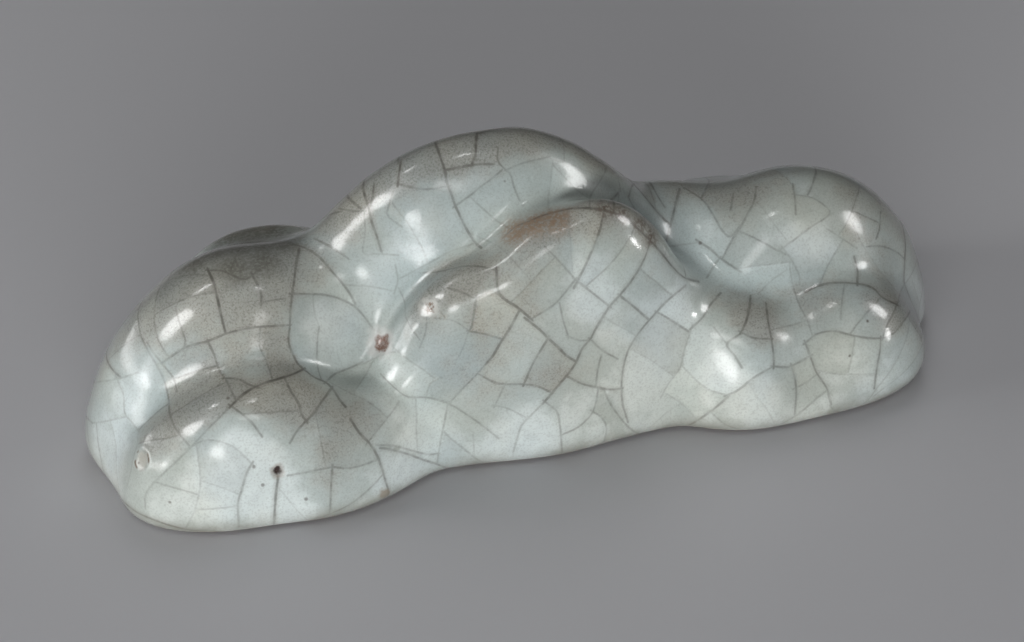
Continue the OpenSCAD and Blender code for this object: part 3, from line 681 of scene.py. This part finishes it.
def hand_modelling(p):
    """Small lasting unevenness of a form modelled by hand and thickly glazed, in millimetres."""
    rng = np.random.RandomState(FORM_SEED)
    rise = np.zeros(len(p))
    for wave in WAVES:
        for _ in range(2):
            way = rng.normal(0, 1, 3)
            way /= np.linalg.norm(way)
            rise += wave * WAVE_SLOPE * np.sin(p @ way * 2 * math.pi / wave + rng.uniform(0, 2 * math.pi))
    return rise


def soft_folds(p):
    """How much fuller the glaze lies in the folds that it has run into, in millimetres."""
    fill = np.zeros(len(p))
    for pixel, reach, height in FILLED_FOLDS:
        fill += height * np.exp(-((p - place_at(pixel)) ** 2).sum(1) / reach**2)
    return fill


def flaw_relief(p):
    """Rise and fall of the glaze at its flaws, in millimetres."""
    rise = np.zeros(len(p))
    for pixel, radius, height in FLAW_RELIEF:
        rise += height * np.exp(-(np.linalg.norm(p - place_at(pixel), axis=1) / radius) ** 2)
    ring = np.linalg.norm(p - place_at(RING_FLAW), axis=1)
    rise += RING_HEIGHT * np.exp(-(((ring - RING_RADIUS) / RING_WIDTH) ** 2))
    return rise - RING_MIDDLE_DEPTH * np.exp(-((ring / RING_MIDDLE_RADIUS) ** 2))


def mesh_object(name, points, faces):
    mesh = bpy.data.meshes.new(name)
    mesh.from_pydata((points * MM).tolist(), [], faces)
    mesh.validate()
    mesh.shade_smooth()
    ob = bpy.data.objects.new(name, mesh)
    bpy.context.scene.collection.objects.link(ob)
    return ob


def store(ob, name, values):
    """Keeps three numbers a point in the mesh, for the material to read."""
    full = np.zeros((len(ob.data.vertices), 3))
    full[: len(values)] = values
    ob.data.attributes.new(name, "FLOAT_VECTOR", "POINT").data.foreach_set("vector", full.ravel())


def make_glaze():
    """The glaze, closed round its lower edge, with its cracks and plates kept at its points."""
    levels = np.linspace(SLAB_THICKNESS, GLAZE_EDGE_HEIGHT, int(SLAB_THICKNESS / GLAZE_GRAIN) + 1)[1:]
    angles = np.linspace(0, math.pi, int(OVER_LENGTH / GLAZE_GRAIN) + 1)
    grid = skin_grid(GLAZE_GRAIN, angles, levels, 0)
    numbers = grid_numbers(grid.shape[0], grid.shape[1], len(levels))
    points = grid_points(grid, len(levels))
    inner_levels, inner_angles = np.array([GLAZE_EDGE_HEIGHT]), np.linspace(0, math.pi, INSIDE_ANGLES)
    inner = skin_grid(GLAZE_GRAIN, inner_angles, inner_levels, GLAZE_THICKNESS)
    inner_numbers = grid_numbers(inner.shape[0], inner.shape[1], 1, len(points))
    normals = outward(points)

    coarse_levels = np.linspace(SLAB_THICKNESS, GLAZE_EDGE_HEIGHT, SKIN_LEVELS)[1:]
    coarse = skin_grid(SKIN_GRAIN, np.linspace(0, math.pi, SKIN_ANGLES), coarse_levels, 0)
    skin = Skin(grid_points(coarse, len(coarse_levels)))
    drawn = photo_cracks()
    cracks = drawn + grown_cracks(skin, drawn, seen_from_camera(skin))
    layers, nearest = crack_layers(points, normals, cracks)

    relief = hand_modelling(points) + soft_folds(points) + flaw_relief(points)
    relief *= np.clip((points[:, 2] - GLAZE_EDGE_HEIGHT) / RELIEF_FADE, 0, 1)
    points = points + relief[:, None] * normals
    faces = grid_faces(numbers) + grid_faces(inner_numbers[:, ::-1]) + rim_faces(numbers, inner_numbers)
    ob = mesh_object("glaze", np.vstack([points, grid_points(inner, 1)]), faces)
    for k in range(CRACK_LAYERS):
        store(ob, f"crack_{k}", layers[k])
    store(ob, "plate", plate_tints(numbers, nearest))
    store(ob, "form", np.stack([roundness(points, TIGHT), roundness(points, BROAD), normals[:, 2]], 1))
    store(ob, "depth_and_painted_light", np.stack([depth_and_painted_light(points), points[:, 2], np.zeros(len(points))], 1))
    return ob


def seen_from_camera(skin):
    """Which points of the skin the camera sees."""
    _, _, forward = camera_axes()
    to_eye = CAMERA_AIM - forward * CAMERA_DISTANCE - skin.points
    to_eye /= np.linalg.norm(to_eye, axis=1)[:, None]
    seen = (skin.normals * to_eye).sum(1) > FACING_LEAST
    for t in np.arange(SHADING_STEP, RAY_LENGTH, SHADING_STEP):
        seen &= range_gap(skin.points + t * to_eye) > 0
    return seen


class Nodes:
    """Short calls for building a material's node tree."""

    def __init__(self, name):
        self.material = bpy.data.materials.new(name)
        self.material.use_nodes = True
        self.tree = self.material.node_tree
        self.shader = self.tree.nodes["Principled BSDF"]

    def node(self, kind, **settings):
        made = self.tree.nodes.new(kind)
        for key, value in settings.items():
            setattr(made, key, value)
        return made

    def put(self, socket, value):
        if isinstance(value, bpy.types.NodeSocket):
            self.tree.links.new(value, socket)
        elif isinstance(value, tuple) and len(value) == 3 and socket.type == "RGBA":
            socket.default_value = (*value, 1)
        else:
            socket.default_value = value

    def math(self, operation, *values):
        made = self.node("ShaderNodeMath", operation=operation)
        for socket, value in zip(made.inputs, values):
            self.put(socket, value)
        return made.outputs[0]

    def ramp(self, value, low, high, to_low=0.0, to_high=1.0):
        """Value taken smoothly from the range low to high into the range to_low to to_high."""
        made = self.node("ShaderNodeMapRange", interpolation_type="SMOOTHSTEP")
        for socket, v in zip(made.inputs, (value, low, high, to_low, to_high)):
            self.put(socket, v)
        return made.outputs[0]

    def mix(self, factor, a, b, blend="MIX"):
        made = self.node("ShaderNodeMix", data_type="RGBA", blend_type=blend)
        for socket, v in zip((made.inputs[0], made.inputs[6], made.inputs[7]), (factor, a, b)):
            self.put(socket, v)
        return made.outputs[2]

    def attribute(self, name):
        made = self.node("ShaderNodeAttribute", attribute_name=name)
        parts = self.node("ShaderNodeSeparateXYZ")
        self.put(parts.inputs[0], made.outputs["Vector"])
        return parts.outputs[0], parts.outputs[1], parts.outputs[2]

    def finished(self, colour, roughness, coat=()):
        """The material, with what its shader takes in."""
        for name, value in {"Base Color": colour, "Roughness": roughness, **dict(coat)}.items():
            self.put(self.shader.inputs[name], value)
        return self.material

    def place(self):
        return self.node("ShaderNodeTexCoord").outputs["Object"]

    def noise(self, size, detail=2.0, roughness=0.5):
        """Noise with features about size millimetres across, from 0 to 1."""
        made = self.node("ShaderNodeTexNoise")
        self.put(made.inputs["Vector"], self.place())
        self.put(made.inputs["Scale"], 1 / (size * MM))
        self.put(made.inputs["Detail"], detail)
        self.put(made.inputs["Roughness"], roughness)
        return made.outputs["Fac"]

    def away(self, place):
        """Distance from a place, in millimetres."""
        made = self.node("ShaderNodeVectorMath", operation="DISTANCE")
        self.put(made.inputs[0], self.place())
        self.put(made.inputs[1], tuple(np.array(place) * MM))
        return self.math("DIVIDE", made.outputs["Value"], MM)


def crack_masks(m):
    """Dark line and soft stain of all the cracks, from the mesh's crack layers."""
    waver, patchy = m.noise(2.5, 3), m.noise(1.6, 3)
    line, stain = 0.0, 0.0
    for k in range(CRACK_LAYERS):
        side, away, dark = m.attribute(f"crack_{k}")
        width = m.ramp(dark, 0.0, 1.0, LINE_THIN, LINE_THICK)
        width = m.math("MULTIPLY", width, m.ramp(waver, 0.3, 0.7, 0.5, 1.3))
        across = m.math("ABSOLUTE", side)
        edge = m.ramp(across, width, m.math("ADD", width, LINE_EDGE), 1, 0)
        ends = m.ramp(away, 0.4, 0.7, 1, 0)
        strength = m.math("MULTIPLY", m.math("POWER", dark, 0.65), m.ramp(patchy, 0.35, 0.65, 0.5, 1.0))
        this = m.math("MULTIPLY", m.math("MULTIPLY", edge, ends), strength)
        line = m.math("MAXIMUM", line, this)
        halo = m.math("MULTIPLY", m.ramp(away, 0.0, 0.9, 1, 0), m.math("POWER", dark, 2.0))
        stain = m.math("MAXIMUM", stain, halo)
    return line, stain


def paint_flaws_shade_and_highlight(m, colour):
    """Iron spots, bare pits and specks, each at the place where the photograph shows it, with painted shade
    on the back of the left hill's top and a painted highlight round the pitted spot.
    """
    ragged = m.math("MULTIPLY", m.math("SUBTRACT", m.noise(1.2, 3), 0.5), 1.6)
    grain = m.ramp(m.noise(0.5, 2), 0.35, 0.6)

    def spot(pixel, radius, edge, rough=1.0):
        away = m.math("ADD", m.away(place_at(pixel)), m.math("MULTIPLY", ragged, rough))
        return m.ramp(away, radius, radius + edge, 1, 0)

    def trail(pixels, radius, edge):
        mask = 0.0
        for pixel in pixels:
            mask = m.math("MAXIMUM", mask, spot(pixel, radius, edge))
        return mask

    ring = m.math("ABSOLUTE", m.math("SUBTRACT", m.away(place_at(RING_FLAW)), RING_LINE_RADIUS))
    coats = [
        (trail(RUSTY_CREST, 0.6, 3.6), m.ramp(grain, 0, 1, 0.35, 0.85), RUST),
        (trail(DARK_CREST, 0.3, 2.2), m.ramp(grain, 0, 1, 0.3, 0.8), CREST_DARK_LINE),
        # painted shade on the back of the left hill's top
        (trail(PAINTED_SHADE_CREST, 0.5, 4.5), m.ramp(grain, 0, 1, 0.45, 0.75), PAINTED_SHADE),
        (spot(IRON_SPOT, 1.4, 1.8, 1.6), 0.7, IRON_HALO),
        (spot(IRON_SPOT, 0.95, 0.75, 1.2), m.ramp(grain, 0, 1, 0.7, 1), IRON),
        # painted highlight round the pitted spot
        (spot(PITTED_SPOT, 0.9, 1.4, 2.2), 0.6, PIT_PAINTED_HIGHLIGHT),
        (spot(PITTED_SPOT, 0.4, 0.7, 2.6), grain, PIT),
        (spot(PINHOLE, 0.7, 0.7, 0.6), 0.5, HOLE_HALO),
        (spot(PINHOLE, 0.55, 0.25, 0.35), 1.0, HOLE),
        (spot(RING_FLAW, 0.9, 0.6, 0.5), 0.5, RING_FILL),
        (m.ramp(ring, 0.05, 0.3, 1, 0), m.ramp(m.noise(1.5), 0.4, 0.6), RING),
        (spot(GRIT_BUMP, 0.8, 0.6, 1.0), 0.75, GRIT),
    ]
    coats += [(spot(pixel, 0.1, 0.3, 0.25), 0.9, SPECK) for pixel in DARKER_SPECKS]
    coats += [(spot(pixel, 0.1, 0.3, 0.25), 0.6, SPECK) for pixel in SPECKS]
    for mask, strength, tint in coats:
        colour = m.mix(m.math("MULTIPLY", mask, strength), colour, tint)
    return colour


def glaze_material():
    m = Nodes("crackled celadon glaze")
    tight, broad, up = m.attribute("form")
    lighter, warmer, _ = m.attribute("plate")

    drifting, cloudy, blotchy = m.noise(15, 2), m.noise(9, 4, 0.6), m.noise(2.2, 3, 0.6)
    deep_and_painted_light, height, _ = m.attribute("depth_and_painted_light")
    thin = m.ramp(tight, 0.03, 0.3, 0.05, 0.5)  # on crests
    for part in (
        m.ramp(broad, 0.0, 0.15, -0.15, 0.2),
        m.ramp(up, 0.1, 0.85, -0.3, 0.35),  # where the glaze faces up
        m.ramp(cloudy, 0.3, 0.7, -0.28, 0.28),
        m.ramp(blotchy, 0.3, 0.7, -0.14, 0.14),
        m.math("MULTIPLY", warmer, 0.11),  # by plates
        # thin and thick glaze, partly painted shade and painted light
        m.math("MULTIPLY", deep_and_painted_light, 0.75),  # as in the photograph
    ):
        thin = m.math("ADD", thin, part)
    pooled = m.ramp(broad, 0.03, -0.12)

    colour = m.mix(m.ramp(thin, -0.7, 0.0, 1, 0), GLAZE_PALE, GLAZE_WHITE)
    colour = m.mix(m.math("MULTIPLY", pooled, 0.7), colour, GLAZE_BLUE)
    colour = m.mix(m.ramp(thin, 0.0, 1.0), colour, GLAZE_GREY)

    fine, finer = m.noise(0.32, 2), m.noise(0.2, 1)
    speckle = m.math("MULTIPLY", m.ramp(fine, 0.46, 0.68), m.ramp(thin, 0.1, 1.2, 0.18, 0.55))
    colour = m.mix(speckle, colour, SPECKLE)
    milky = m.math("MULTIPLY", m.ramp(finer, 0.52, 0.7), 0.16)
    colour = m.mix(milky, colour, MILK)

    shade = m.math("MULTIPLY_ADD", lighter, 0.06, m.ramp(blotchy, 0.25, 0.75, 0.93, 1.07))
    warm = m.math("MULTIPLY_ADD", warmer, 0.45, m.ramp(drifting, 0.35, 0.65, -1.4, 1.4))
    tone = m.node("ShaderNodeCombineColor")
    for socket, part in zip(tone.inputs, WARMING):
        m.put(socket, m.math("MULTIPLY_ADD", warm, part, shade))
    colour = m.mix(1.0, colour, tone.outputs[0], "MULTIPLY")

    line, stain = crack_masks(m)
    ink = m.ramp(thin, 0.0, 1.0, 0.62, 0.85)
    colour = m.mix(m.math("MULTIPLY", stain, 0.3), colour, STAIN)
    colour = m.mix(m.math("MULTIPLY", line, ink), colour, INK)
    colour = paint_flaws_shade_and_highlight(m, colour)
    # painted shade towards the lower edge where the glaze turns under, mixed with its warm grey tint there
    foot = m.math("MULTIPLY", m.ramp(height, 4.5, 0.8, 0, 0.75), m.ramp(cloudy, 0.35, 0.6, 0.4, 1))
    colour = m.mix(foot, colour, FOOT_TINT_AND_SHADE)
    orange_peel = m.node("ShaderNodeBump")
    m.put(orange_peel.inputs["Height"], m.noise(PEEL_SIZE, 3))
    m.put(orange_peel.inputs["Distance"], PEEL_HEIGHT * MM)
    peel = orange_peel.outputs[0]
    coat = {"Coat Weight": 1.0, "Coat Roughness": COAT_ROUGHNESS, "Normal": peel, "Coat Normal": peel}
    return m.finished(colour, GLAZE_ROUGHNESS, coat)


def bare_clay_material():
    m = Nodes("bare fired clay")
    colour = m.mix(m.ramp(m.noise(6, 4), 0.3, 0.7), CLAY, DARK_CLAY)
    colour = m.mix(m.math("MULTIPLY", m.ramp(m.noise(0.6, 2), 0.55, 0.7), 0.6), colour, CLAY_GRAIN)
    return m.finished(colour, CLAY_ROUGHNESS)


def put_camera():
    _, _, forward = camera_axes()
    data = bpy.data.cameras.new("camera")
    data.lens, data.sensor_width = LENS, SENSOR
    camera = bpy.data.objects.new("camera", data)
    camera.location = Vector((CAMERA_AIM - forward * CAMERA_DISTANCE) * MM)
    camera.rotation_euler = Vector(forward).to_track_quat("-Z", "Y").to_euler()
    bpy.context.scene.collection.objects.link(camera)
    bpy.context.scene.camera = camera


def lamp(name, azimuth, elevation, distance, size, watts, lights=True, mirrored=True):
    """A soft lamp that shines on the range, with its numbers as in the tables of lamps. It may light
    the range, be mirrored in the glaze, or both."""
    data = bpy.data.lights.new(name, "AREA")
    data.shape = "ELLIPSE"
    data.size, data.size_y = size
    data.energy = watts
    made = bpy.data.objects.new(name, data)
    around, above = math.radians(azimuth), math.radians(elevation)
    way = Vector((math.sin(around) * math.cos(above), -math.cos(around) * math.cos(above), math.sin(above)))
    made.location = Vector(CAMERA_AIM * MM) + way * distance
    made.rotation_euler = way.to_track_quat("Z", "Y").to_euler()
    made.visible_diffuse, made.visible_glossy = lights, mirrored
    bpy.context.scene.collection.objects.link(made)


def put_floor():
    bpy.ops.mesh.primitive_plane_add(size=FLOOR_SIZE)
    floor = bpy.context.object
    floor.name = "floor"
    floor.data.materials.append(Nodes("floor").finished(FLOOR, FLOOR_ROUGHNESS))


def put_lights():
    for row in LIGHTING_LAMPS:
        lamp(*row, mirrored=False)
    for row in MIRRORED_LAMPS:
        lamp(*row, lights=False)
    world = bpy.data.worlds.new("studio")
    world.use_nodes = True
    background = world.node_tree.nodes["Background"]
    background.inputs["Color"].default_value = ROOM
    background.inputs["Strength"].default_value = ROOM_STRENGTH
    bpy.context.scene.world = world


put_camera()
glaze = make_glaze()
glaze.data.materials.append(glaze_material())
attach(glaze, "root")
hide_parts("glaze_coat")
clay = bare_clay_material()
for name in ("front_shell", "back_shell", "base_slab"):
    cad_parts[name].data.materials.clear()
    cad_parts[name].data.materials.append(clay)

put_floor()
put_lights()
bpy.context.scene.view_settings.view_transform = "Standard"
